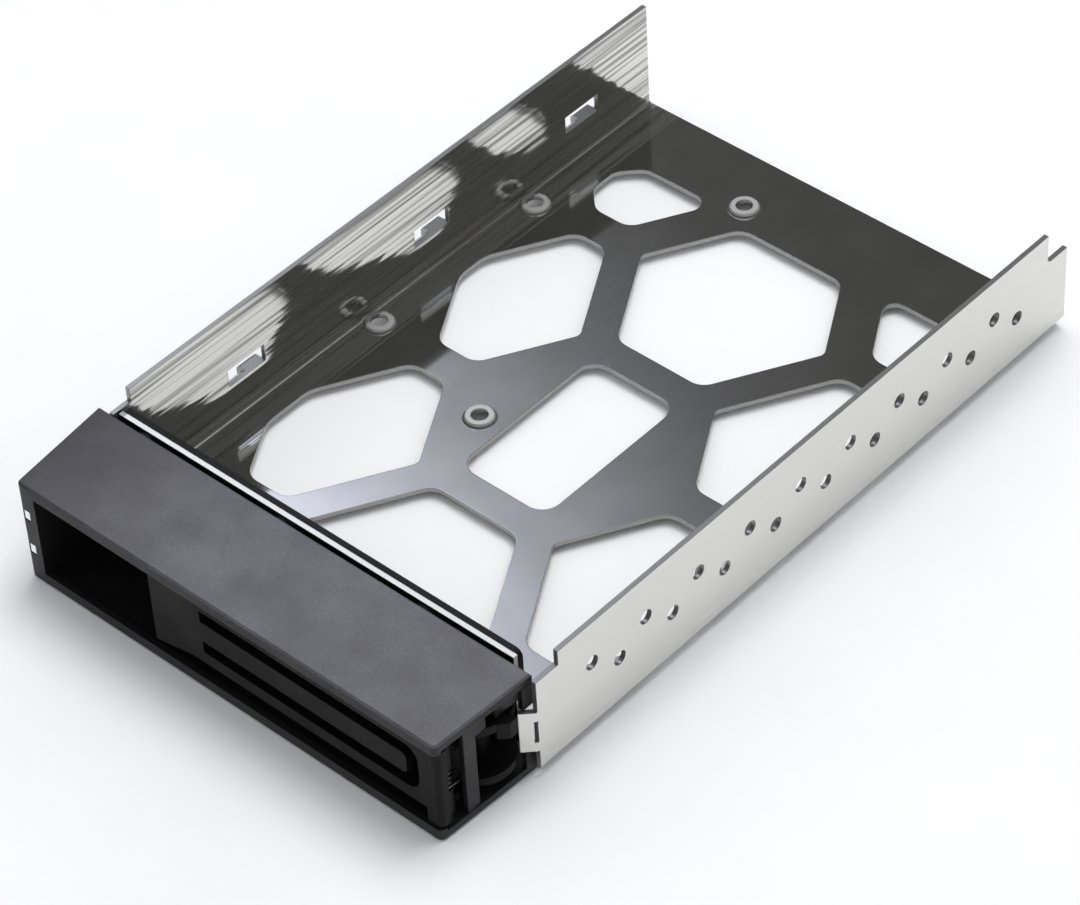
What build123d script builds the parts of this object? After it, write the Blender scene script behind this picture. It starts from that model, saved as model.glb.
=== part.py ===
from build123d import *
import math
import os

os.makedirs("parts", exist_ok=True)

# Driving sizes of the folded tray, in millimetres
tray_width = 104.0
tray_length = 147.0
wall_height = 25.0
sheet = 1.0
bend_inside = 0.6

# Side walls
wall_lead = 1.0
wall_gap = 0.3
step_length = 4.7
step_drop = 3.1
notch_length = 6.0
notch_depth = 6.7
notch_corner = 1.2

# Two staggered rows of round holes in the right wall
vent_pitch = 14.0
vent_radius = 1.5
vent_first = 13.0
vent_land = 12.0
vent_row_upper = 15.6
vent_row_lower = 11.1

# Tab bent in from the front edge of the right wall
tab_low = 5.5
tab_high = 15.0
tab_reach = 2.2
tab_slot_width = 0.8
tab_slot_land = 2.2

# Front flange and the rail behind it
flange_gap = 0.8
flange_side_gap = 0.9
flange_height = 22.3
corner_gap = 5.6
relief = 1.0
strip_thickness = 1.3
strip_height = 7.8
strip_gap = 0.3
strip_corner = 1.5

# Floor windows: a column in the middle and one on each side, with 60 degree sides
pattern_shift = 1.0
field_front = 18.7
field_rear = 16.4
field_side = 5.9
side_parts = (41.3, 40.0, 15.4)
side_web = 7.6
side_inner = 16.6
side_span = 29.5
side_cuts = ((22.2, 12.3, 17.5), (18.2, 16.5, 16.2))
middle_start = -10.7
middle_parts = (30.3, 37.0, 39.3)
middle_web = 6.9
middle_half = 22.7
middle_waists = (8.8, 21.4)
bar_half = 10.6
rear_inner = 21.2
rear_outer_land = 3.0
rear_cut = 4.5
window_corner = 4.0
waist_corner = 1.8
outer_corner = 7.0
sharp_corner = 2.6

# Screw patterns of the two drive sizes and the raised bosses round their holes
large_drive_across = 95.25
large_drive_along = 44.45
large_drive_end = 41.28
large_drive_overhang = 3.1
small_drive_across = 61.72
small_drive_along = 76.6
small_drive_end = 14.0
small_drive_edge = 4.07
small_drive_overhang = 0.6
drive_side_gap = 0.3
boss_radius = 3.3
boss_top_radius = 2.7
boss_rise = 0.8
screw_hole_radius = 1.7
countersink_radius = 2.6

# Moulded front
bezel_depth = 23.0
bezel_height = 23.5
bezel_drop = 1.2
bezel_overhang = 2.4
bezel_inset = 1.8
bezel_taper_left = 2.6
bezel_taper_right = 1.1
bezel_roof = 1.8
bezel_floor = 2.0
bezel_back_wall = 2.2
bezel_margin = 4.0
lip_depth = 1.5
top_lip = 0.5
bottom_lip = 0.7
bezel_corner = 1.2
bezel_edge = 0.4

# Post, block, skirt and gussets at the open end of the bezel
post_width = 1.1
post_length = 2.9
post_setback = 6.6
post_out = 0.2
block_length = 5.6
skirt_length = 8.4
skirt_drop = 2.9
gusset_length = 2.6
gusset_rise = 4.2
gusset_drop = 5.2

# Clear rods outside the left wall and the clips that hold them
guide_thickness = 1.2
guide_height = 2.2
guide_gap = 0.1
guide_upper = 14.75
guide_lower = 6.4
guide_bend = 3.0
guide_window = 1.5
guide_window_inset = 0.8
guide_recess = 0.2
clip_width = 4.5
clip_space = 0.6
clips = (33.0, 83.5, 127.0)
clip_lip = 1.6

# Lever
lever_gap = 0.3
lever_recess = 0.4
lever_skin = 2.4
lever_pocket = 28.4
lever_foot = 4.5
lever_chin = 2.5
lever_chin_run = 9.5
lever_end_width = 3.2
lever_corner = 1.2
lever_side_gap = 0.1
slot_start = 12.4
slot_width = 2.75
slot_bar = 4.8
slot_end = 4.5
slot_rise = 2.7
slot_turn = 3.0
slot_bar_corner = 1.2
shelf_reach = 5.0
shelf_thickness = 1.2
grip_thickness = 2.0
rib_thickness = 1.2
rib_count = 5
rib_end = 3.0

# Hinge
hinge_setback = 3.0
hinge_depth = 3.4
pin_radius = 1.0
pin_fit = 0.02
pin_clearance = 0.06
pin_bite = 0.6
pin_recess = 0.3
knuckle_radius = 2.2
knuckle_low = 8.0
knuckle_high = 13.0

# Round cam on the lever's tail
cam_radius = 7.0
cam_gap = 0.3
cam_shift = 2.8
cam_plate = 1.8
cam_lower = 3.2
cam_upper = 15.4
cam_web = 1.8
cam_core = 2.4
neck_right = 1.4
neck_left = 1.9
tooth_reach = 8.4
tooth_front = 9.0
tooth_rear = 5.5
tooth_drop = 1.9
tooth_lead = 1.6
door_gap = 2.2

# Torsion spring
wire_radius = 0.3
wire_sides = 6
coil_gap = 0.45
coil_space = 0.35
coil_pitch = 1.1
coil_turns = 3
coil_end = 235.0
coil_bottom = 8.7
post_leg = 5.2
leg_gap = 0.4

# Screws that hold the rail, the flange and the bezel together
clamp_count = 3
clamp_first = 9.0
clamp_pitch = 34.0
clamp_level = 4.0
clamp_shank = 1.25
clamp_head = 2.2
clamp_length = 8.0
clamp_fit = 0.02
clamp_pass = 0.25
clamp_pad = 3.3
clamp_boss_wall = 1.7
clamp_boss_end = 0.8
clamp_recess = 0.5
clamp_recess_width = 0.5
clamp_recess_span = 2.2

# Places worked out from the sizes, from the left wall, the bezel's rear face and the floor's underside
inner_right = tray_width - sheet
flange_front = flange_gap
flange_back = flange_front + sheet
flange_left = sheet + flange_side_gap
flange_right = inner_right - corner_gap
strip_back = flange_back + strip_thickness
bezel_top = bezel_height - bezel_drop
bezel_right = tray_width - bezel_inset
front_left = bezel_taper_left - bezel_overhang
front_right = bezel_right - bezel_taper_right
post_right = front_right + post_out
post_left = post_right - post_width
cavity_left = front_left + bezel_margin
cavity_top = bezel_top - bezel_roof
cavity_bottom = bezel_floor - bezel_drop
lever_front = lever_recess - bezel_depth
lever_back = lever_front + lever_skin
lever_left = cavity_left + lever_pocket
lever_right = front_right - lever_side_gap
lever_top = cavity_top - top_lip - lever_gap
lever_bottom = cavity_bottom + bottom_lip + lever_gap
foot_level = cavity_bottom + lever_foot
hinge = (lever_right - hinge_setback, lever_front + hinge_depth)
cam = (hinge[0] - cam_shift, -cam_radius - cam_gap)
clamp_height = flange_height - clamp_level
clamps = [(clamp_first + clamp_pitch * k, clamp_height) for k in range(clamp_count)]
clip_out = guide_gap + guide_thickness + guide_gap + sheet
coil_radius = pin_radius + coil_gap + wire_radius
relief_radius = coil_radius + wire_radius + coil_space
overall_width = tray_width + bezel_overhang
overall_length = tray_length + bezel_depth
datum = Vector(bezel_overhang - overall_width / 2, bezel_depth - overall_length / 2, bezel_drop)
upward = (Align.CENTER, Align.CENTER, Align.MIN)


def level(z):
    """Horizontal plane at a height above the floor's underside."""
    return Plane(origin=datum + Vector(0, 0, z))


def face(y):
    """Upright plane across the tray that looks forward."""
    return Plane(origin=datum + Vector(0, y, 0), x_dir=(1, 0, 0), z_dir=(0, -1, 0))


def side(x):
    """Upright plane along the tray that looks right."""
    return Plane(origin=datum + Vector(x, 0, 0), x_dir=(0, 1, 0), z_dir=(1, 0, 0))


def slab(low_x, low_y, high_x, high_y, mode=Mode.ADD):
    """Draw an upright rectangle between two corners in the open sketch."""
    with Locations(((low_x + high_x) / 2, (low_y + high_y) / 2)):
        Rectangle(high_x - low_x, high_y - low_y, mode=mode)


def edges_at(part, axis, x=None, y=None, z=None):
    """Straight edges along an axis whose middles lie at the given places."""
    found = part.edges().filter_by(axis)
    if x is not None:
        found = found.filter_by(lambda e: abs(e.center().X - datum.X - x) < 0.01)
    if y is not None:
        found = found.filter_by(lambda e: abs(e.center().Y - datum.Y - y) < 0.01)
    if z is not None:
        found = found.filter_by(lambda e: abs(e.center().Z - datum.Z - z) < 0.01)
    return found


def finish(name, builder):
    """Label a finished piece and write it."""
    builder.part.label = name
    export_step(builder.part, f"parts/{name}.step")


# Floor windows, drawn on their own pattern and stretched to the floor
slope = math.tan(math.radians(60))
pattern_centre = tray_width / 2 + pattern_shift
field_half = side_inner + side_span


def column(start, parts, web):
    """Front and rear edge of each window in a column."""
    runs = []
    for part in parts:
        runs.append((start, start + part))
        start += part + web
    return runs


side_runs = column(0, side_parts, side_web)
middle_runs = column(middle_start, middle_parts, middle_web)
along = (tray_length - field_front - field_rear) / side_runs[-1][1]
across = (tray_width / 2 - field_side) / field_half


def middle_window(run, waist):
    """Corners and corner radii of a hexagon on the centre line, widest at its waist."""
    front, rear = run
    front_half = middle_half - waist / slope
    rear_half = middle_half - (rear - front - waist) / slope
    return [
        (-front_half, front, window_corner),
        (front_half, front, window_corner),
        (middle_half, front + waist, waist_corner),
        (rear_half, rear, window_corner),
        (-rear_half, rear, window_corner),
        (-middle_half, front + waist, waist_corner),
    ]


def side_window(run, cuts):
    """Corners and corner radii of a window beside the wall that points at the middle."""
    front, rear = run
    waist, front_cut, rear_cut = cuts
    return [
        (side_inner, front + waist, waist_corner),
        (side_inner + (rear - front - waist) / slope, rear, window_corner),
        (field_half - rear_cut / slope, rear, window_corner),
        (field_half, rear - rear_cut, outer_corner),
        (field_half, front + front_cut, outer_corner),
        (field_half - front_cut / slope, front, window_corner),
        (side_inner + waist / slope, front, window_corner),
    ]


def rear_window(run):
    """Corners and corner radii of a small window in a rear corner of the floor."""
    front, rear = run
    outer = field_half - rear_outer_land
    return [
        (rear_inner, rear, sharp_corner),
        (outer - rear_cut, rear, window_corner),
        (outer, rear - rear_cut, window_corner),
        (outer, front + rear_cut, window_corner),
        (outer - rear_cut, front, window_corner),
        (rear_inner + (rear - front) / slope, front, window_corner),
    ]


def bar_window(run):
    """Corners and corner radii of the upright window at the middle of the floor."""
    front, rear = run
    return [
        (-bar_half, front, window_corner),
        (bar_half, front, window_corner),
        (bar_half, rear, window_corner),
        (-bar_half, rear, window_corner),
    ]


def on_floor(corners, hand=1):
    """Corners of a window moved from its pattern to the floor, mirrored by the hand."""
    return [(pattern_centre + hand * across * x, field_front + along * y, r) for x, y, r in corners]


windows = [
    on_floor(middle_window(middle_runs[0], middle_waists[0])),
    on_floor(bar_window(middle_runs[1])),
    on_floor(middle_window(middle_runs[2], middle_waists[1])),
]
for hand in (-1, 1):
    for run, cuts in zip(side_runs, side_cuts):
        windows.append(on_floor(side_window(run, cuts), hand))
    windows.append(on_floor(rear_window(side_runs[2]), hand))

# Places of the drive screws, set by the drives' connector ends behind the tray
large_rear = tray_length + large_drive_overhang - large_drive_end
small_rear = tray_length + small_drive_overhang - small_drive_end
small_right = inner_right - drive_side_gap - small_drive_edge
large_left = (tray_width - large_drive_across) / 2
drive_screws = []
for y in (large_rear - large_drive_along, large_rear):
    drive_screws += [(large_left, y), (large_left + large_drive_across, y)]
for y in (small_rear - small_drive_along, small_rear):
    drive_screws += [(small_right - small_drive_across, y), (small_right, y)]

# Folded tray
with BuildPart() as tray:
    # Floor and both walls, drawn as a U and run from front to rear
    with BuildSketch(face(-wall_lead)):
        slab(0, 0, tray_width, wall_height)
        slab(sheet, sheet, inner_right, wall_height + sheet, mode=Mode.SUBTRACT)
    extrude(amount=-tray_length - wall_lead)
    fillet(edges_at(tray, Axis.Y, z=0), bend_inside + sheet)
    fillet(edges_at(tray, Axis.Y, z=sheet), bend_inside)
    # The floor and the left wall stop behind the bezel
    with BuildSketch(level(-sheet)):
        slab(-sheet, -2 * wall_lead, pattern_centre, wall_gap)
        slab(sheet, -2 * wall_lead, inner_right, flange_front)
    extrude(amount=wall_height + 2 * sheet, mode=Mode.SUBTRACT)
    # Lower step at the front of both walls
    with BuildSketch(side(-sheet)):
        slab(-2 * wall_lead, wall_height - step_drop, step_length, wall_height + sheet)
    extrude(amount=tray_width + 2 * sheet, mode=Mode.SUBTRACT)
    # Notch at the rear of the right wall
    with BuildSketch(side(inner_right - sheet)):
        slab(tray_length - notch_length, wall_height - notch_depth, tray_length + sheet, wall_height + sheet)
    extrude(amount=3 * sheet, mode=Mode.SUBTRACT)
    fillet(edges_at(tray, Axis.X, y=tray_length - notch_length, z=wall_height - notch_depth), notch_corner)
    # Holes in the right wall
    vent_run = tray_length - vent_first - vent_land - vent_pitch / 2
    vent_count = 1 + int(vent_run / vent_pitch)
    with BuildSketch(side(inner_right - sheet)):
        for k in range(vent_count):
            with Locations((vent_first + k * vent_pitch, vent_row_upper)):
                Circle(vent_radius)
            with Locations((vent_first + (k + 0.5) * vent_pitch, vent_row_lower)):
                Circle(vent_radius)
    extrude(amount=3 * sheet, mode=Mode.SUBTRACT)
    # Flange bent up at the front, with relief notches at both ends of its bend
    with BuildSketch(side(flange_left)):
        slab(flange_front, 0, flange_back, flange_height)
    extrude(amount=flange_right - flange_left)
    with BuildSketch(level(-sheet)):
        slab(sheet, 0, flange_left, flange_back + relief)
        slab(flange_right, 0, flange_right + relief, flange_back + relief)
    extrude(amount=3 * sheet, mode=Mode.SUBTRACT)
    fillet(edges_at(tray, Axis.X, y=flange_front, z=0).sort_by(SortBy.LENGTH)[-1], bend_inside + sheet)
    fillet(edges_at(tray, Axis.X, y=flange_back, z=sheet), bend_inside)
    with BuildSketch(face(flange_back)):
        with Locations(*clamps):
            Circle(clamp_shank + clamp_pass)
    extrude(amount=sheet, mode=Mode.SUBTRACT)
    # Tab bent in by 45 degrees from the front edge of the right wall
    tab_slant = sheet * math.cos(math.radians(45))
    tab_start = -wall_lead - sheet * math.tan(math.radians(22.5))
    with BuildSketch(level(tab_low)):
        Polygon(
            (inner_right, -wall_lead),
            (tray_width, -wall_lead),
            (tray_width, tab_start),
            (tray_width - tab_reach, tab_start - tab_reach),
            (tray_width - tab_reach - tab_slant, tab_start - tab_reach + tab_slant),
            align=None,
        )
    extrude(amount=tab_high - tab_low)
    # Slot along the bend that lets the tab fold
    with BuildSketch(side(inner_right - sheet)):
        with Locations((tab_start, (tab_low + tab_high) / 2)):
            Rectangle(tab_slot_width, tab_high - tab_low - 2 * tab_slot_land)
    extrude(amount=3 * sheet, mode=Mode.SUBTRACT)
    # Windows lanced in the left wall, each with one tab turned up and one turned down round a light guide
    clip_low = guide_lower + guide_height / 2 + guide_gap + sheet
    clip_high = guide_upper - guide_height / 2 - guide_gap - sheet
    for centre in clips:
        front = centre - clip_space / 2 - clip_width
        rear = centre + clip_space / 2
        with BuildSketch(side(-sheet)):
            slab(front, clip_low, rear + clip_width, clip_high)
        extrude(amount=3 * sheet, mode=Mode.SUBTRACT)
        for start, root, turn in ((front, clip_high, 1), (rear, clip_low, -1)):
            with BuildSketch(face(start)) as clip:
                Polygon(
                    (sheet / 2, root),
                    (-clip_out, root),
                    (-clip_out, root + turn * (sheet + clip_lip)),
                    (sheet - clip_out, root + turn * (sheet + clip_lip)),
                    (sheet - clip_out, root + turn * sheet),
                    (sheet / 2, root + turn * sheet),
                    align=None,
                )
                fillet(clip.vertices().sort_by_distance((-clip_out, root, 0))[0], sheet)
            extrude(amount=-clip_width)
    # Raised bosses for the drive screws, countersunk from below
    with Locations(level(sheet)):
        with Locations(*drive_screws):
            Cone(boss_radius, boss_top_radius, boss_rise, align=upward)
    with Locations(level(0)):
        with Locations(*drive_screws):
            sink = countersink_radius - screw_hole_radius
            Cone(countersink_radius, screw_hole_radius, sink, align=upward, mode=Mode.SUBTRACT)
            Cylinder(screw_hole_radius, sheet + boss_rise, align=upward, mode=Mode.SUBTRACT)
    # Windows of the floor
    for corners in windows:
        with BuildSketch(level(0)) as window:
            Polygon(*[(x, y) for x, y, radius in corners], align=None)
            for x, y, radius in corners:
                fillet(window.vertices().sort_by_distance((x, y, 0))[0], radius)
        extrude(amount=sheet + boss_rise, mode=Mode.SUBTRACT)
finish("tray_frame", tray)


def guide_plan(play):
    """Plan of a light guide, or of its channel when some play is given."""
    left = -guide_gap - guide_thickness
    front = -bezel_depth + guide_recess - 3 * play
    window_left = front_left + guide_window_inset
    return [
        (left - play, tray_length),
        (-guide_gap + play, tray_length),
        (-guide_gap + play, -guide_bend),
        (window_left + guide_window + play, front),
        (window_left - play, front),
        (left - play, -guide_bend),
    ]


# Light guides: clear rods that run along the left wall and turn in to the front of the bezel
for name, height in (("upper_light_guide", guide_upper), ("lower_light_guide", guide_lower)):
    with BuildPart() as guide:
        with BuildSketch(level(height - guide_height / 2)):
            Polygon(*guide_plan(0), align=None)
        extrude(amount=guide_height)
    finish(name, guide)

# Moulded front
with BuildPart() as bezel:
    # Outer form: a block that narrows towards its face
    with BuildSketch(level(-bezel_drop)):
        Polygon(
            (-bezel_overhang, 0),
            (bezel_right, 0),
            (front_right, -bezel_depth),
            (front_left, -bezel_depth),
            align=None,
        )
    extrude(amount=bezel_height)
    fillet(edges_at(bezel, Axis.Z, y=-bezel_depth), bezel_corner)
    chamfer(bezel.faces().sort_by(Axis.Z)[-1].edges(), bezel_edge)
    chamfer(bezel.faces().sort_by(Axis.Z)[0].edges(), bezel_edge)
    # Cavity behind the lips, open at the face and at the right-hand end
    with BuildSketch(level(cavity_bottom)):
        slab(cavity_left, lip_depth - bezel_depth, tray_width, -bezel_back_wall)
        slab(cam[0] - cam_radius - door_gap, -bezel_back_wall, tray_width, sheet)
    extrude(amount=cavity_top - cavity_bottom, mode=Mode.SUBTRACT)
    with BuildSketch(level(cavity_bottom + bottom_lip)):
        slab(cavity_left, -bezel_depth - sheet, tray_width, lip_depth - bezel_depth)
    extrude(amount=cavity_top - top_lip - cavity_bottom - bottom_lip, mode=Mode.SUBTRACT)
    # Post that stops the lever, block and skirt under the roof and gussets at the rear corner
    post_front = post_setback - bezel_depth
    with BuildSketch(level(cavity_bottom)):
        slab(post_left, post_front, post_right, post_front + post_length)
    extrude(amount=cavity_top - cavity_bottom)
    with BuildSketch(level(cavity_top - skirt_drop)):
        slab(post_left, post_front, post_right, post_front + block_length)
        slab(post_left, -skirt_length, post_right, 0)
    extrude(amount=skirt_drop)
    for low, high in ((cavity_bottom, cavity_bottom + gusset_rise), (cavity_top - gusset_drop, cavity_top)):
        with BuildSketch(level(low)):
            slab(bezel_right - post_width, -gusset_length, bezel_right, 0)
        extrude(amount=high - low)
    # Seats for the hinge pin on the floor and under the roof
    for low, high in ((cavity_bottom, cavity_bottom + bottom_lip), (cavity_top - top_lip, cavity_top)):
        with BuildSketch(level(low)):
            with Locations(hinge):
                Circle(knuckle_radius)
        extrude(amount=high - low)
    with BuildSketch(level(-bezel_drop)):
        with Locations(hinge):
            Circle(pin_radius + pin_fit)
    extrude(amount=bezel_drop + cavity_top + pin_bite + lever_gap, mode=Mode.SUBTRACT)
    # Pads that meet the flange and bosses that take the clamp screws
    with BuildSketch(face(flange_front)):
        with Locations(*clamps):
            Circle(clamp_pad)
    extrude(amount=flange_front)
    boss_end = clamp_length + clamp_boss_end - strip_back
    with BuildSketch(face(-bezel_back_wall)):
        with Locations(*clamps):
            Circle(clamp_shank + clamp_boss_wall)
    extrude(amount=boss_end - bezel_back_wall)
    with BuildSketch(face(flange_front)):
        with Locations(*clamps):
            Circle(clamp_shank + clamp_fit)
    extrude(amount=flange_front + boss_end - clamp_boss_end / 2, mode=Mode.SUBTRACT)
    # Channels of the light guides
    for height in (guide_upper, guide_lower):
        with BuildSketch(level(height - guide_height / 2 - guide_gap)):
            Polygon(*guide_plan(guide_gap), align=None)
        extrude(amount=guide_height + 2 * guide_gap, mode=Mode.SUBTRACT)
finish("bezel_shell", bezel)

# Lever
with BuildPart() as lever:
    # Face plate with a chin under the grip and a full-height end over the hinge
    with BuildSketch(face(lever_front)):
        Polygon(
            (lever_left, lever_top),
            (lever_right, lever_top),
            (lever_right, lever_bottom),
            (lever_right - lever_end_width, lever_bottom),
            (lever_right - lever_end_width, foot_level),
            (lever_left + lever_chin_run, foot_level),
            (lever_left, cavity_bottom + lever_chin),
            align=None,
        )
    extrude(amount=-lever_skin)
    fillet(edges_at(lever, Axis.Z, x=lever_right, y=lever_front), lever_corner)
    # Slot shaped like a hairpin, closed by a round turn near the hinge
    slot_left = lever_left + slot_start
    slot_right = lever_right - slot_end
    slot_low = foot_level + slot_rise
    slot_high = slot_low + 2 * slot_width + slot_bar
    with BuildSketch(face(lever_front)) as slot:
        slab(slot_left, slot_low, slot_right, slot_high)
        fillet(slot.vertices().group_by(Axis.X)[-1], slot_turn)
    extrude(amount=-lever_skin, mode=Mode.SUBTRACT)
    with BuildSketch(face(lever_front)) as bar:
        slab(slot_left, slot_low + slot_width, slot_right - slot_width, slot_high - slot_width)
        fillet(bar.vertices().group_by(Axis.X)[-1], slot_bar_corner)
    extrude(amount=-lever_skin)
    # Shelves along the top and foot, the grip's edge and ribs behind the face
    shelf_right = hinge[0] - knuckle_radius - lever_gap
    rib_pitch = (shelf_right - rib_end - lever_left - grip_thickness) / rib_count
    with BuildSketch(face(lever_back)):
        slab(lever_left, lever_top - shelf_thickness, shelf_right, lever_top)
        slab(lever_left, foot_level, shelf_right, foot_level + shelf_thickness)
        slab(lever_left, foot_level, lever_left + grip_thickness, lever_top)
        for k in range(rib_count):
            rib = lever_left + grip_thickness + (k + 1) * rib_pitch
            slab(rib - rib_thickness, foot_level, rib, lever_top)
    extrude(amount=-shelf_reach)
    # Two round plates of the cam with their necks, joined by a web and a core
    for height in (cam_lower, cam_upper):
        with BuildSketch(level(height)):
            with Locations(cam):
                Circle(cam_radius)
            Polygon(
                (hinge[0] - neck_left, hinge[1]),
                (hinge[0] + neck_right, hinge[1]),
                (hinge[0] + neck_right, cam[1]),
                (cam[0] - cam_core, cam[1]),
                align=None,
            )
        extrude(amount=cam_plate)
    web_run = (Vector(*cam) - Vector(*hinge))
    with BuildSketch(level(cam_lower)):
        with Locations((Vector(*cam) + Vector(*hinge)) / 2):
            Rectangle(web_run.length, cam_web, rotation=math.degrees(math.atan2(web_run.Y, web_run.X)))
        with Locations(cam):
            Circle(cam_core)
    extrude(amount=cam_upper - cam_lower)
    # Tooth that hooks into the bay
    with BuildSketch(level(cam_upper - tooth_drop)):
        Polygon(
            (cam[0], -tooth_rear),
            (cam[0] + tooth_reach, -tooth_rear),
            (cam[0] + tooth_reach, -tooth_front + tooth_lead),
            (cam[0] + tooth_reach - tooth_lead, -tooth_front),
            (cam[0], -tooth_front),
            align=None,
        )
    extrude(amount=tooth_drop + cam_plate)
    # Hinge knuckles, with room for the spring between them
    with BuildSketch(level(lever_bottom)):
        with Locations(hinge):
            Circle(knuckle_radius)
    extrude(amount=lever_top - lever_bottom)
    with BuildSketch(level(knuckle_low)):
        with Locations(hinge):
            Circle(relief_radius)
    extrude(amount=knuckle_high - knuckle_low, mode=Mode.SUBTRACT)
    with BuildSketch(level(lever_bottom)):
        with Locations(hinge):
            Circle(pin_radius + pin_clearance)
    extrude(amount=lever_top - lever_bottom, mode=Mode.SUBTRACT)
finish("lever", lever)

# Hinge pin
with BuildPart() as pin:
    with BuildSketch(level(pin_recess - bezel_drop)):
        with Locations(hinge):
            Circle(pin_radius)
    extrude(amount=bezel_drop - pin_recess + cavity_top + pin_bite)
finish("hinge_pin", pin)

# Torsion spring: a short coil with one leg to the post and one to the nearest rib
coil_slant = math.radians(coil_end)
rib_face = hinge[0] + coil_radius * math.cos(coil_slant) - (shelf_right - rib_end) - leg_gap
rib_leg = rib_face / -math.sin(coil_slant)
with BuildPart() as spring:
    with BuildLine(Plane(origin=datum + Vector(hinge[0], hinge[1], coil_bottom))) as wire:
        coil = Helix(coil_pitch, coil_pitch * (coil_turns + 1 - coil_end / 360), coil_radius, lefthand=True)
        Line(coil @ 0, coil @ 0 - (coil % 0) * post_leg)
        Line(coil @ 1, coil @ 1 + (coil % 1) * rib_leg)
    with BuildSketch(Plane(origin=wire.line @ 0, z_dir=wire.line % 0)):
        RegularPolygon(wire_radius, wire_sides)
    sweep(is_frenet=True)
finish("lever_spring", spring)

# Rail behind the flange
with BuildPart() as strip:
    with BuildSketch(face(strip_back)) as rail:
        slab(flange_left + strip_gap, flange_height - strip_height, flange_right, flange_height)
        fillet(rail.vertices().group_by(Axis.X)[-1], strip_corner)
    extrude(amount=strip_thickness)
    sink = clamp_head - clamp_shank
    with Locations(face(strip_back)):
        with Locations(*clamps):
            Cone(clamp_head + clamp_fit, clamp_shank + clamp_fit, sink, align=upward, mode=Mode.SUBTRACT)
            Cylinder(clamp_shank + clamp_fit, strip_thickness, align=upward, mode=Mode.SUBTRACT)
finish("clamp_strip", strip)

# Three screws through the rail and the flange into the bezel
with BuildPart() as screws:
    with Locations(face(strip_back)):
        with Locations(*clamps):
            Cylinder(clamp_shank, clamp_length, align=upward)
            Cone(clamp_head, clamp_shank, sink, align=upward)
            Box(clamp_recess_span, clamp_recess_width, clamp_recess, align=upward, mode=Mode.SUBTRACT)
            Box(clamp_recess_width, clamp_recess_span, clamp_recess, align=upward, mode=Mode.SUBTRACT)
finish("clamp_screws", screws)
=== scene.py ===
"""Looks of the hot swap drive caddy: its finishes, its studio and its camera.

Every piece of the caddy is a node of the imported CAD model. This script gives each node its finish and sets the
light and the camera. It moves no node, changes no mesh and adds nothing to the caddy.
"""

import logging
import math
from dataclasses import dataclass
from enum import Enum
from typing import Any, Protocol

import bmesh
import bpy
from mathutils import Matrix, Vector


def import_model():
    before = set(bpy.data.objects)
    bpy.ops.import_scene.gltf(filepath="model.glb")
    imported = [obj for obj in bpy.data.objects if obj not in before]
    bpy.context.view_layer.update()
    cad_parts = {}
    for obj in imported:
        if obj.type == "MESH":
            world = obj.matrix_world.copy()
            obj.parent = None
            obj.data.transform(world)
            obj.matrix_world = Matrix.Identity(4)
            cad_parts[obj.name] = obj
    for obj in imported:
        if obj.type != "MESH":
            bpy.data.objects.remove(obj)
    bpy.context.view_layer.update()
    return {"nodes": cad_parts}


LOG = logging.getLogger("caddy")
MM = 0.001

# Noise rarely leaves this middle range.
NOISE_LOW, NOISE_HIGH = 0.3, 0.7
# Cosine of about 45 degrees.
FACING = 0.7
# Rays that round an edge to the eye: few, because each is paid for at every point.
EDGE_SAMPLES = 4
# Socket numbers of a Mix node that mixes colours.
SHARE, FIRST, SECOND, MIXED = 0, 6, 7, 2


class Axis(Enum):
    """An axis of the caddy: X across it, Y along it, from its front to its rear, and Z up."""

    X = 0
    Y = 1
    Z = 2


class Grain(Enum):
    """How a noise is drawn out along X, Y and Z."""

    EVEN = (1.0, 1.0, 1.0)
    ALONG_TRAY = (1.0, 0.03, 1.0)
    DRAWN_OUT = (1.0, 0.012, 1.0)


class Seen(Enum):
    """Where a softbox is seen: whether it lights matt surfaces, and whether it shows in shiny ones."""

    IN_MATT = (True, False)
    IN_MIRRORS = (False, True)


def linear(code: str) -> tuple[float, float, float, float]:
    """Turn an sRGB hex colour into a linear one.

    Args:
        code: Six hex digits after a hash sign.

    Returns:
        Red, green, blue and an alpha of one.
    """
    parts = [int(code[k : k + 2], 16) / 255 for k in (1, 3, 5)]
    lit = [c / 12.92 if c <= 0.04045 else ((c + 0.055) / 1.055) ** 2.4 for c in parts]
    return (lit[0], lit[1], lit[2], 1.0)


def add_node(tree: bpy.types.NodeTree, kind: str, inputs: dict[Any, Any], out: int | str = 0, **settings: Any) -> Any:
    """Add one node, set its properties and fill or link its inputs.

    Args:
        tree: The node tree that takes the node.
        kind: Blender's type name of the node, after its first word ShaderNode.
        inputs: Socket names or numbers, each with a constant or an output socket.
        out: Name or number of the output that is wanted.
        **settings: Properties of the node itself.

    Returns:
        That output socket, or None from a node that has no outputs.
    """
    node = tree.nodes.new("ShaderNode" + kind)
    for name, value in settings.items():
        setattr(node, name, value)
    for name, value in inputs.items():
        if isinstance(value, bpy.types.NodeSocket):
            tree.links.new(value, node.inputs[name])
        else:
            node.inputs[name].default_value = value
    return node.outputs[out] if node.outputs else None


class Finish(Protocol):
    """Anything that can make a material."""

    def build(self) -> bpy.types.Material:
        """Make the material."""


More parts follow.
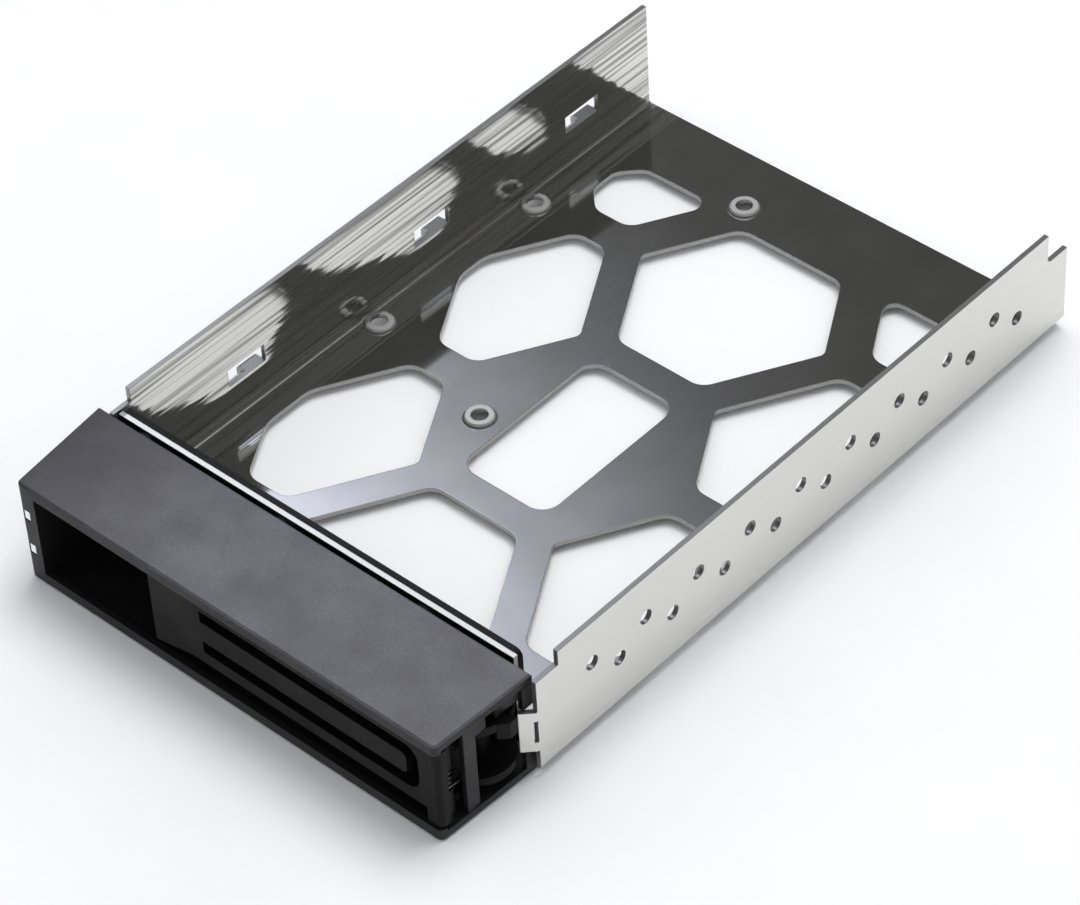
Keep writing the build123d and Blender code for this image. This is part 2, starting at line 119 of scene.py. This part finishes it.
class Recipe:
    """A material in the making, with the patterns and masks that the finishes share.

    A mask is a value that is one in its place and zero elsewhere.
    """

    def __init__(self, name: str) -> None:
        """Start an empty material.

        Args:
            name: The real material and process.
        """
        self.material = bpy.data.materials.new(name)
        self.material.use_nodes = True
        self.tree = self.material.node_tree
        self.tree.nodes.clear()
        self.place = add_node(self.tree, "TexCoord", {}, "Object")

    def noise(self, size_mm: float, detail: float = 3.0, grain: Grain = Grain.EVEN) -> bpy.types.NodeSocket:
        """Make a noise whose lumps have a real size.

        Args:
            size_mm: Size of a lump in millimetres.
            detail: Octaves of finer noise on top.
            grain: Direction that the lumps are drawn out in.

        Returns:
            The noise, mostly between NOISE_LOW and NOISE_HIGH.
        """
        drawn = add_node(self.tree, "Mapping", {"Vector": self.place, "Scale": grain.value})
        return add_node(self.tree, "TexNoise", {"Vector": drawn, "Scale": 1 / (size_mm * MM), "Detail": detail})

    def spread(self, noise: bpy.types.NodeSocket, low: float, high: float) -> bpy.types.NodeSocket:
        """Spread the middle of a noise over a range.

        Args:
            noise: The noise.
            low: Result where the noise is low.
            high: Result where the noise is high.

        Returns:
            The spread noise.
        """
        span = {"Value": noise, "From Min": NOISE_LOW, "From Max": NOISE_HIGH, "To Min": low, "To Max": high}
        return add_node(self.tree, "MapRange", span)

    def facing(self, axis: Axis) -> bpy.types.NodeSocket:
        """Mask the faces that look along an axis, either way, by the flat normal of the mesh.

        Args:
            axis: The axis.

        Returns:
            The mask of faces within about 45 degrees of the axis.
        """
        normal = add_node(self.tree, "NewGeometry", {}, "True Normal")
        part = add_node(self.tree, "SeparateXYZ", {"Vector": normal}, axis.value)
        size = add_node(self.tree, "Math", {0: part}, operation="ABSOLUTE")
        return add_node(self.tree, "Math", {0: size, 1: FACING}, operation="GREATER_THAN")

    def between(self, axis: Axis, low_mm: float, high_mm: float) -> bpy.types.NodeSocket:
        """Mask the points between two places along an axis.

        Args:
            axis: The axis.
            low_mm: Lower place in millimetres.
            high_mm: Higher place in millimetres.

        Returns:
            The mask of those points.
        """
        middle, half = (low_mm + high_mm) / 2 * MM, (high_mm - low_mm) / 2 * MM
        part = add_node(self.tree, "SeparateXYZ", {"Vector": self.place}, axis.value)
        offset = add_node(self.tree, "Math", {0: part, 1: middle}, operation="SUBTRACT")
        away = add_node(self.tree, "Math", {0: offset}, operation="ABSOLUTE")
        return add_node(self.tree, "Math", {0: away, 1: half}, operation="LESS_THAN")

    def both(self, *values: bpy.types.NodeSocket | float) -> bpy.types.NodeSocket:
        """Keep what several masks have in common, or a value only where a mask holds.

        Args:
            *values: Two or more masks, or values to scale by them.

        Returns:
            Their product.
        """
        product, *others = values
        for value in others:
            product = add_node(self.tree, "Math", {0: product, 1: value}, operation="MULTIPLY")
        return product

    def either(self, *values: bpy.types.NodeSocket | float) -> bpy.types.NodeSocket:
        """Join several masks, or keep a value from falling below a number.

        Args:
            *values: Two or more masks or values.

        Returns:
            The largest of them.
        """
        largest, *others = values
        for value in others:
            largest = add_node(self.tree, "Math", {0: largest, 1: value}, operation="MAXIMUM")
        return largest

    def outside(self, mask: bpy.types.NodeSocket) -> bpy.types.NodeSocket:
        """Turn a mask into the mask of everything else."""
        return add_node(self.tree, "Math", {0: 1.0, 1: mask}, operation="SUBTRACT")

    def shift(self, value: Any, mask: bpy.types.NodeSocket, change: float) -> bpy.types.NodeSocket:
        """Change a value where a mask holds.

        Args:
            value: The value elsewhere, as a number or a socket.
            mask: Where it changes.
            change: What is added to it there.

        Returns:
            The changed value.
        """
        return add_node(self.tree, "Math", {0: mask, 1: change, 2: value}, operation="MULTIPLY_ADD")

    def close(self, **inputs: Any) -> bpy.types.Material:
        """End the material in a principled surface.

        Args:
            **inputs: Sockets of the surface, with underscores for spaces.

        Returns:
            The finished material.
        """
        named = {name.replace("_", " "): value for name, value in inputs.items()}
        surface = add_node(self.tree, "BsdfPrincipled", named)
        add_node(self.tree, "OutputMaterial", {"Surface": surface})
        return self.material


@dataclass(frozen=True)
class SheetPlaces:
    """Masks of the places on the tray that look different from each other."""

    wall: bpy.types.NodeSocket
    sheared: bpy.types.NodeSocket
    bend: bpy.types.NodeSocket
    lip: bpy.types.NodeSocket
    boss: bpy.types.NodeSocket
    drawn: bpy.types.NodeSocket
    inside: bpy.types.NodeSocket


@dataclass(frozen=True)
class BrightSheet:
    """Bright zinc plated cold rolled sheet.

    To the eye its faces are nearly mirrors, with fine rolled lines and a slow wave that bends what they show. The
    walls and the floor beside the left one carry long marks from the folding die. Edges, bends and screw bosses
    are duller. The flange's top edge and the bosses' cut faces carry a painted highlight, a paler matt colour, and the
    walls are painted lighter than the floor as painted light.
    """

    # Colours of the faces, sheared edges, painted highlights on the flange's top edge and the bosses, score marks, and
    # the walls, which are painted lighter than the floor as painted light.
    dark: str = "#c4c4c2"
    light: str = "#d0d0ce"
    cut: str = "#9c9c9a"
    highlight_colour: str = "#dadad8"
    scored: str = "#7c7b78"
    painted_wall_light: str = "#dadad6"
    # Rolled lines are under a tenth of a millimetre apart, and are drawn coarser to show. So are the marks of the
    # folding die, streaks and scores, which are a few tenths wide. The scores' range starts below zero, so that
    # much of the sheet has none.
    lines_mm: float = 0.25
    lines_deep_mm: float = 0.0006
    streak_mm: float = 0.9
    streak_deep_mm: float = 0.02
    score_mm: float = 0.8
    score_range: tuple[float, float] = (-0.6, 1.2)
    crease_mm: float = 3.2
    crease_deep_mm: float = 0.15
    wave_mm: float = 24.0
    wave_deep_mm: float = 0.05
    cloud_mm: float = 14.0
    edge_mm: float = 0.22
    # Shine and share of metal. Sheared places and the painted highlights scatter light as a matt surface does.
    smooth: float = 0.05
    rough: float = 0.12
    cut_rough: float = 0.36
    bend_rough: float = 0.36
    cut_metal: float = 0.8
    highlight_metal: float = 0.3
    scored_metal: float = 0.76
    # Places on the tray: half widths where the walls' inner faces end, where the walls begin and where the bends
    # begin, then heights above the table and spans along the tray.
    inner_mm: float = 50.2
    wall_mm: float = 49.2
    bend_side_mm: float = 47.6
    bend_top_mm: float = 4.4
    floor_top_mm: float = 2.6
    drawn_floor_mm: tuple[float, float] = (-60.0, -42.0)
    flange_mm: tuple[float, float] = (-61.5, -59.9)
    lip_mm: tuple[float, float] = (12.0, 27.0)
    boss_height_mm: tuple[float, float] = (2.6, 6.0)
    boss_reach_mm: tuple[float, float] = (-58.9, 90.0)
    # Share of the painted highlight on the bosses.
    boss_highlight: float = 0.6

    def places(self, recipe: Recipe) -> SheetPlaces:
        """Find the places on the tray.

        Args:
            recipe: The material in the making.

        Returns:
            The masks.
        """
        floor = recipe.both(recipe.facing(Axis.Z), recipe.between(Axis.Z, 0.0, self.floor_top_mm))
        outer = recipe.outside(recipe.between(Axis.X, -self.wall_mm, self.wall_mm))
        wall = recipe.both(recipe.facing(Axis.X), outer)
        flange = recipe.both(recipe.facing(Axis.Y), recipe.between(Axis.Y, *self.flange_mm))
        sheared = recipe.outside(recipe.either(floor, wall, flange))
        flat = recipe.between(Axis.X, -self.bend_side_mm, self.bend_side_mm)
        lip = recipe.both(recipe.between(Axis.Y, *self.flange_mm), recipe.between(Axis.Z, *self.lip_mm), flat, sheared)
        boss = recipe.both(
            recipe.between(Axis.Z, *self.boss_height_mm), recipe.between(Axis.Y, *self.boss_reach_mm), flat
        )
        drawn = recipe.either(wall, recipe.both(floor, recipe.between(Axis.X, *self.drawn_floor_mm)))
        return SheetPlaces(
            wall=wall,
            sheared=sheared,
            bend=recipe.both(recipe.outside(flat), recipe.between(Axis.Z, 0.0, self.bend_top_mm)),
            lip=lip,
            boss=recipe.both(boss, self.boss_highlight),
            drawn=drawn,
            inside=recipe.both(drawn, recipe.between(Axis.X, -self.inner_mm, self.inner_mm)),
        )

    def colour(self, recipe: Recipe, spots: SheetPlaces, score: bpy.types.NodeSocket) -> bpy.types.NodeSocket:
        """Colour the sheet.

        Args:
            recipe: The material in the making.
            spots: Masks of the places on the tray.
            score: How deep the score marks are.

        Returns:
            The colour.
        """
        cloud = recipe.spread(recipe.noise(self.cloud_mm), 0.0, 1.0)
        mixed = linear(self.dark)
        for share, other in (
            (cloud, linear(self.light)),
            # The walls take a lighter colour: painted light.
            (spots.wall, linear(self.painted_wall_light)),
            (score, linear(self.scored)),
        ):
            mixed = add_node(
                recipe.tree, "Mix", {SHARE: share, FIRST: mixed, SECOND: other}, MIXED, data_type="RGBA"
            )
        # Painted highlights: the flange's top edge and the bosses' cut faces take the paler colour.
        highlight_tones = {SHARE: recipe.either(spots.lip, spots.boss), FIRST: linear(self.cut), SECOND: linear(self.highlight_colour)}
        edge = add_node(recipe.tree, "Mix", highlight_tones, MIXED, data_type="RGBA")
        ends = {SHARE: spots.sheared, FIRST: mixed, SECOND: edge}
        return add_node(recipe.tree, "Mix", ends, MIXED, data_type="RGBA")

    def build(self) -> bpy.types.Material:
        """Make the material.

        Returns:
            Bright steel, marked and dulled in its places, with painted highlights and painted lighter walls.
        """
        recipe = Recipe("bright zinc plated cold rolled sheet")
        spots = self.places(recipe)
        lines = recipe.noise(self.lines_mm, 2.0, Grain.ALONG_TRAY)
        marks = recipe.spread(recipe.noise(self.score_mm, 2.0, Grain.DRAWN_OUT), *self.score_range)
        score = recipe.either(recipe.both(marks, spots.inside), 0.0)
        # Where the painted highlights lie: the flange's top edge and the bosses' cut faces, made matt and pale.
        pale = recipe.either(spots.lip, recipe.both(spots.boss, spots.sheared))
        metal = recipe.shift(1.0, score, self.scored_metal - 1.0)
        metal = recipe.shift(metal, spots.sheared, self.cut_metal - 1.0)
        metal = recipe.shift(metal, pale, self.highlight_metal - self.cut_metal)
        dull = recipe.spread(lines, self.smooth, self.rough)
        dull = recipe.shift(dull, spots.bend, self.bend_rough - self.rough)
        dull = recipe.shift(dull, spots.sheared, self.cut_rough - self.rough)
        normal = add_node(recipe.tree, "Bevel", {"Radius": self.edge_mm * MM}, samples=EDGE_SAMPLES)
        for height, deep_mm in (
            (recipe.noise(self.wave_mm, 1.0), self.wave_deep_mm),
            (recipe.both(recipe.noise(self.crease_mm, 1.0, Grain.DRAWN_OUT), spots.drawn), self.crease_deep_mm),
            (recipe.both(recipe.noise(self.streak_mm, 2.0, Grain.DRAWN_OUT), spots.drawn), self.streak_deep_mm),
            (lines, self.lines_deep_mm),
        ):
            relief = {"Height": height, "Distance": deep_mm * MM, "Normal": normal}
            normal = add_node(recipe.tree, "Bump", relief)
        colour = self.colour(recipe, spots, score)
        return recipe.close(Base_Color=colour, Metallic=metal, Roughness=dull, Normal=normal)


@dataclass(frozen=True)
class SparkedPlastic:
    """Plastic from a spark eroded mould.

    To the eye it is dull and finely grained and a little cloudy. Its upward faces high up carry painted top light, a
    paler colour, with a painted sheen that grows towards the right.
    """

    name: str
    dark: str
    light: str
    # Colour of the painted top light on upward faces high up.
    top: str
    shine: float = 0.4
    # The real grain is about a tenth of a millimetre, and is drawn coarser to show.
    grain_mm: float = 0.3
    grain_deep_mm: float = 0.03
    cloud_mm: float = 9.0
    edge_mm: float = 0.25
    smooth: float = 0.42
    rough: float = 0.58
    # Painted top light and sheen, broken up by the grain and the clouds. It lies on upward faces above a height, and
    # grows from left to right.
    lit_grain: tuple[float, float] = (0.7, 1.0)
    lit_cloud: tuple[float, float] = (0.7, 1.1)
    lit_above_mm: float = 23.0
    sheen_reach_mm: tuple[float, float] = (-56.0, -15.0)
    sheen_left: float = 0.3

    def painted_top_share(self, recipe: Recipe, grain: bpy.types.NodeSocket, cloud: bpy.types.NodeSocket) -> bpy.types.NodeSocket:
        """Find the share of painted top light: upward faces above a height, broken up by grain and clouds, with a
        painted sheen that grows to the right.

        Args:
            recipe: The material in the making.
            grain: Noise of the grain.
            cloud: Noise of the clouds.

        Returns:
            The share of the colour of the painted top light.
        """
        tree = recipe.tree
        normal = add_node(tree, "NewGeometry", {}, "Normal")
        upward = add_node(tree, "SeparateXYZ", {"Vector": normal}, Axis.Z.value)
        height = add_node(tree, "SeparateXYZ", {"Vector": recipe.place}, Axis.Z.value)
        high = add_node(tree, "Math", {0: height, 1: self.lit_above_mm * MM}, operation="GREATER_THAN")
        across = add_node(tree, "SeparateXYZ", {"Vector": recipe.place}, Axis.X.value)
        start, end = (place * MM for place in self.sheen_reach_mm)
        reach = {"Value": across, "From Min": start, "From Max": end, "To Min": self.sheen_left, "To Max": 1.0}
        sheen_rise = add_node(tree, "MapRange", reach)
        lit_breakup = recipe.both(recipe.spread(grain, *self.lit_grain), recipe.spread(cloud, *self.lit_cloud))
        return recipe.both(recipe.either(recipe.both(upward, high), 0.0), lit_breakup, sheen_rise)

    def build(self) -> bpy.types.Material:
        """Make the material.

        Returns:
            Grained and cloudy plastic, with painted top light on its upper faces.
        """
        recipe = Recipe(self.name)
        grain = recipe.noise(self.grain_mm, 2.0)
        cloud = recipe.noise(self.cloud_mm, 4.0)
        tones = {SHARE: recipe.spread(cloud, 0.0, 1.0), FIRST: linear(self.dark), SECOND: linear(self.light)}
        base = add_node(recipe.tree, "Mix", tones, MIXED, data_type="RGBA")
        painted_top_tones = {SHARE: self.painted_top_share(recipe, grain, cloud), FIRST: base, SECOND: linear(self.top)}
        edge = add_node(recipe.tree, "Bevel", {"Radius": self.edge_mm * MM}, samples=EDGE_SAMPLES)
        relief = {"Height": grain, "Distance": self.grain_deep_mm * MM, "Normal": edge}
        return recipe.close(
            Base_Color=add_node(recipe.tree, "Mix", painted_top_tones, MIXED, data_type="RGBA"),
            Roughness=recipe.spread(cloud, self.smooth, self.rough),
            Specular_IOR_Level=self.shine,
            Normal=add_node(recipe.tree, "Bump", relief),
        )


@dataclass(frozen=True)
class ClearRod:
    """Polished clear polycarbonate.

    To the eye it is glassy and a little milky, and its front ends carry a painted glow.
    """

    tint: str = "#f6fafb"
    haze: str = "#e9f0f2"
    streak_mm: float = 1.4
    edge_mm: float = 0.1
    smooth: float = 0.04
    rough: float = 0.14
    clear: float = 0.35
    index: float = 1.585
    mouth_mm: tuple[float, float] = (-86.0, -82.0)
    # Strength of the painted glow at the front ends.
    painted_glow: float = 0.35

    def build(self) -> bpy.types.Material:
        """Make the material.

        Returns:
            Milky clear plastic with a painted glow at its front ends.
        """
        recipe = Recipe("polished clear polycarbonate")
        streak = recipe.noise(self.streak_mm, 2.0, Grain.ALONG_TRAY)
        mouth = recipe.both(recipe.facing(Axis.Y), recipe.between(Axis.Y, *self.mouth_mm))
        tones = {SHARE: recipe.spread(streak, 0.0, 1.0), FIRST: linear(self.tint), SECOND: linear(self.haze)}
        return recipe.close(
            Base_Color=add_node(recipe.tree, "Mix", tones, MIXED, data_type="RGBA"),
            Roughness=recipe.spread(streak, self.smooth, self.rough),
            Transmission_Weight=self.clear,
            IOR=self.index,
            # Painted glow: the front ends emit light, though they are no lamp.
            Emission_Color=linear(self.tint),
            Emission_Strength=recipe.both(mouth, self.painted_glow),
            Normal=add_node(recipe.tree, "Bevel", {"Radius": self.edge_mm * MM}, samples=EDGE_SAMPLES),
        )


@dataclass(frozen=True)
class TurnedSteel:
    """Small hard steel parts, ground, drawn or black zinc plated.

    To the eye they are metal with a fine uneven shine.
    """

    name: str
    dark: str
    light: str
    smooth: float
    rough: float
    # Real tool marks are far finer, and are drawn coarser to show.
    mark_mm: float = 0.5
    edge_mm: float = 0.08

    def build(self) -> bpy.types.Material:
        """Make the material.

        Returns:
            Metal with a fine uneven shine.
        """
        recipe = Recipe(self.name)
        mark = recipe.noise(self.mark_mm)
        tones = {SHARE: recipe.spread(mark, 0.0, 1.0), FIRST: linear(self.dark), SECOND: linear(self.light)}
        return recipe.close(
            Base_Color=add_node(recipe.tree, "Mix", tones, MIXED, data_type="RGBA"),
            Metallic=1.0,
            Roughness=recipe.spread(mark, self.smooth, self.rough),
            Normal=add_node(recipe.tree, "Bevel", {"Radius": self.edge_mm * MM}, samples=EDGE_SAMPLES),
        )


@dataclass
class SubAssembly:
    """Pieces of the caddy that belong together."""

    nodes: dict[str, bpy.types.Object]

    def paint(self, finish: Finish, *names: str) -> None:
        """Give pieces one finish.

        Args:
            finish: The finish.
            *names: The nodes that take it.
        """
        material = finish.build()
        for name in names:
            for slot in self.nodes[name].material_slots:
                slot.material = material
            LOG.info("%s: %s", name, material.name)


@dataclass
class Tray(SubAssembly):
    """The tray, folded from one sheet."""

    sheet: BrightSheet = BrightSheet()

    def dress(self) -> None:
        """Give the tray its finish."""
        self.paint(self.sheet, "tray_frame")


@dataclass
class Front(SubAssembly):
    """The moulded front, with the rail and the screws that clamp it to the tray's flange."""

    # The shell's and the rail's third colours are painted top light on their upward faces.
    shell: SparkedPlastic = SparkedPlastic("black abs, spark eroded grain", "#161617", "#1b1b1d", "#6a696f")
    rail: SparkedPlastic = SparkedPlastic("dull black rail plastic", "#101012", "#161618", "#1c1c1f", 0.2)
    screw: TurnedSteel = TurnedSteel("black zinc screw", "#2b2b2c", "#3d3d3e", 0.25, 0.4)

    def dress(self) -> None:
        """Give the front's pieces their finishes."""
        self.paint(self.shell, "bezel_shell")
        self.paint(self.rail, "clamp_strip")
        self.paint(self.screw, "clamp_screws")


@dataclass
class Handle(SubAssembly):
    """The lever, with the pin that it turns on and the spring that opens it."""

    # The lever's third colour is painted top light on its upward faces.
    lever: SparkedPlastic = SparkedPlastic("black nylon, fine grain", "#0b0b0c", "#101011", "#1c1c1e", 0.13)
    pin: TurnedSteel = TurnedSteel("ground steel pin", "#9c9c9a", "#b4b4b2", 0.16, 0.28)
    spring: TurnedSteel = TurnedSteel("drawn spring wire", "#5c5b58", "#74736f", 0.3, 0.45)

    def dress(self) -> None:
        """Give the lever, pin and spring their finishes."""
        self.paint(self.lever, "lever")
        self.paint(self.pin, "hinge_pin")
        self.paint(self.spring, "lever_spring")


@dataclass
class LightGuides(SubAssembly):
    """The two clear rods that carry light to the front."""

    rod: ClearRod = ClearRod()

    def dress(self) -> None:
        """Give the rods their finish."""
        self.paint(self.rod, "upper_light_guide", "lower_light_guide")


@dataclass(frozen=True)
class LightDisc:
    """A round softbox that fades from its middle to its rim.

    Its azimuth, from +X towards +Y, and its elevation are in degrees, its reach and radius in metres, and its core
    is the share of the radius that is evenly lit.
    """

    name: str
    azimuth: float
    elevation: float
    reach: float
    radius: float
    core: float
    fade: float
    glow: float
    tint: str
    seen: Seen
    segments: int = 64

    def toward(self) -> Vector:
        """Find the unit vector from the caddy to the softbox."""
        turn, lift = math.radians(self.azimuth), math.radians(self.elevation)
        return Vector((math.cos(turn) * math.cos(lift), math.sin(turn) * math.cos(lift), math.sin(lift)))

    def cloth(self) -> bpy.types.Material:
        """Make the glowing cloth, which is clear from behind so that it hides nothing of the room.

        Returns:
            Emission that is even in the core and fades towards the rim.
        """
        recipe = Recipe(self.name)
        tree = recipe.tree
        away = add_node(tree, "VectorMath", {0: recipe.place}, "Value", operation="LENGTH")
        start = self.core * self.radius
        fall = {"Value": away, "From Min": start, "From Max": self.radius, "To Min": 1.0, "To Max": 0.0}
        share = add_node(tree, "MapRange", fall)
        soft = add_node(tree, "Math", {0: share, 1: self.fade}, operation="POWER")
        lit = add_node(tree, "Emission", {"Color": linear(self.tint), "Strength": recipe.both(soft, self.glow)})
        clear = add_node(tree, "BsdfTransparent", {})
        cloth = add_node(tree, "AddShader", {0: lit, 1: clear})
        add_node(tree, "OutputMaterial", {"Surface": cloth})
        return recipe.material

    def build(self) -> None:
        """Hang the softbox so that it faces the caddy."""
        form = bmesh.new()
        bmesh.ops.create_circle(form, cap_ends=True, radius=self.radius, segments=self.segments)
        mesh = bpy.data.meshes.new(self.name)
        form.to_mesh(mesh)
        form.free()
        mesh.materials.append(self.cloth())
        holder = bpy.data.objects.new(self.name, mesh)
        holder.location = self.toward() * self.reach
        holder.rotation_euler = self.toward().to_track_quat("Z", "Y").to_euler()
        holder.visible_camera = False
        holder.visible_diffuse, holder.visible_glossy = self.seen.value
        bpy.context.scene.collection.objects.link(holder)
        LOG.info("softbox %s", self.name)


# A wide softbox behind the left wall shows in the front of the floor, and a narrow one high above the rear lights
# the plastic and the table. The second shows in the steel only as a glint, because it would burn it out.
SOFTBOXES = (
    LightDisc(
        name="mirror_softbox",
        azimuth=159.0,
        elevation=52.0,
        reach=1.2,
        radius=0.63,
        core=0.29,
        fade=3.27,
        glow=3.1,
        tint="#ebefff",
        seen=Seen.IN_MIRRORS,
    ),
    LightDisc(
        name="rear_softbox",
        azimuth=90.0,
        elevation=74.0,
        reach=1.2,
        radius=0.50,
        core=0.6,
        fade=2.0,
        glow=6.0,
        tint="#ffffff",
        seen=Seen.IN_MATT,
    ),
    LightDisc(
        name="rear_glint",
        azimuth=90.0,
        elevation=74.0,
        reach=1.25,
        radius=0.52,
        core=0.6,
        fade=2.0,
        glow=1.25,
        tint="#ffffff",
        seen=Seen.IN_MIRRORS,
    ),
)


@dataclass(frozen=True)
class Studio:
    """A pale table under soft lights, in a room that is dim where mirrors show it."""

    backdrop: str = "#fafafc"
    table_span: float = 6.0
    table_drop: float = 0.0002
    table_dark: str = "#f2f2f2"
    table_light: str = "#f5f5f5"
    table_rough: float = 0.7
    table_shine: float = 0.2
    mottle_mm: float = 40.0
    lit_reach: tuple[float, float] = (0.16, 0.5)
    air_tint: str = "#f9faff"
    air: float = 0.67
    room_tint: str = "#f6f5f2"
    room: float = 0.10

    def film(self) -> bpy.types.Material:
        """Make the table's film, which turns to the plain backdrop away from the caddy.

        Returns:
            Matt white film that takes the caddy's shadow.
        """
        recipe = Recipe("matt white table film")
        tree = recipe.tree
        mottle = recipe.spread(recipe.noise(self.mottle_mm), 0.0, 1.0)
        tones = {SHARE: mottle, FIRST: linear(self.table_dark), SECOND: linear(self.table_light)}
        colour = add_node(tree, "Mix", tones, MIXED, data_type="RGBA")
        film = {"Base Color": colour, "Roughness": self.table_rough, "Specular IOR Level": self.table_shine}
        lit = add_node(tree, "BsdfPrincipled", film)
        pale = add_node(tree, "Emission", {"Color": linear(self.backdrop)})
        seen = recipe.either(
            add_node(tree, "LightPath", {}, "Is Camera Ray"),
            add_node(tree, "LightPath", {}, "Is Glossy Ray"),
            add_node(tree, "LightPath", {}, "Is Transmission Ray"),
        )
        away = add_node(tree, "VectorMath", {0: recipe.place}, "Value", operation="LENGTH")
        reach = {"Value": away, "From Min": self.lit_reach[0], "From Max": self.lit_reach[1]}
        far = add_node(tree, "MapRange", reach, interpolation_type="SMOOTHSTEP")
        top = add_node(tree, "MixShader", {0: recipe.both(far, seen), 1: lit, 2: pale})
        add_node(tree, "OutputMaterial", {"Surface": top})
        return recipe.material

    def table(self) -> None:
        """Lay the table under the caddy."""
        bpy.ops.mesh.primitive_plane_add(size=self.table_span, location=(0, 0, -self.table_drop))
        table = bpy.context.object
        table.name = "table"
        table.data.materials.append(self.film())
        LOG.info("table")

    def sky(self) -> None:
        """Fill the room: pale to the camera, dim in mirrors, soft and even elsewhere."""
        world = bpy.data.worlds.new("room")
        bpy.context.scene.world = world
        world.use_nodes = True
        tree = world.node_tree
        tree.nodes.clear()
        even = add_node(tree, "Background", {"Color": linear(self.air_tint), "Strength": self.air})
        dim = add_node(tree, "Background", {"Color": linear(self.room_tint), "Strength": self.room})
        pale = add_node(tree, "Background", {"Color": linear(self.backdrop), "Strength": 1.0})
        glossy = add_node(tree, "LightPath", {}, "Is Glossy Ray")
        camera = add_node(tree, "LightPath", {}, "Is Camera Ray")
        mirror = add_node(tree, "MixShader", {0: glossy, 1: even, 2: dim})
        seen = add_node(tree, "MixShader", {0: camera, 1: mirror, 2: pale})
        add_node(tree, "OutputWorld", {"Surface": seen})
        LOG.info("room light")

    def build(self) -> None:
        """Set the table, the room and the softboxes."""
        self.table()
        self.sky()
        for softbox in SOFTBOXES:
            softbox.build()


@dataclass(frozen=True)
class PhotoCamera:
    """The photograph's camera, found by fitting the tray's edges.

    Its angles are in degrees and its place in metres, and its focal length is a share of the frame's width.
    """

    azimuth: float = 44.258
    elevation: float = 43.563
    roll: float = -3.623
    place: tuple[float, float, float] = (0.401986, -0.416398, 0.548566)
    focal_share: float = 3.99396
    sensor_mm: float = 36.0
    nearest: float = 0.05

    def build(self) -> None:
        """Make the camera and hand it to the scene."""
        turn, lift, roll = (math.radians(angle) for angle in (self.azimuth, self.elevation, self.roll))
        back = Vector((math.sin(turn) * math.cos(lift), -math.cos(turn) * math.cos(lift), math.sin(lift)))
        right = (-back).cross(Vector((0, 0, 1))).normalized()
        up = right.cross(-back)
        rolled_right = right * math.cos(roll) + up * math.sin(roll)
        rolled_up = up * math.cos(roll) - right * math.sin(roll)
        turned = Matrix((rolled_right, rolled_up, back)).transposed().to_4x4()
        data = bpy.data.cameras.new("photo_camera")
        data.sensor_width = self.sensor_mm
        data.lens = self.focal_share * self.sensor_mm
        data.clip_start = self.nearest
        camera = bpy.data.objects.new("photo_camera", data)
        camera.matrix_world = Matrix.Translation(self.place) @ turned
        bpy.context.scene.collection.objects.link(camera)
        bpy.context.scene.camera = camera
        LOG.info("camera")


def main() -> None:
    """Dress the caddy in order, and set the studio, the camera and the view transform."""
    logging.basicConfig(level=logging.INFO, format="%(message)s")
    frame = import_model()
    for part in (Tray, Front, Handle, LightGuides):
        part(frame["nodes"]).dress()
    Studio().build()
    PhotoCamera().build()
    bpy.context.scene.view_settings.view_transform = "Standard"


if __name__ == "__main__":
    main()
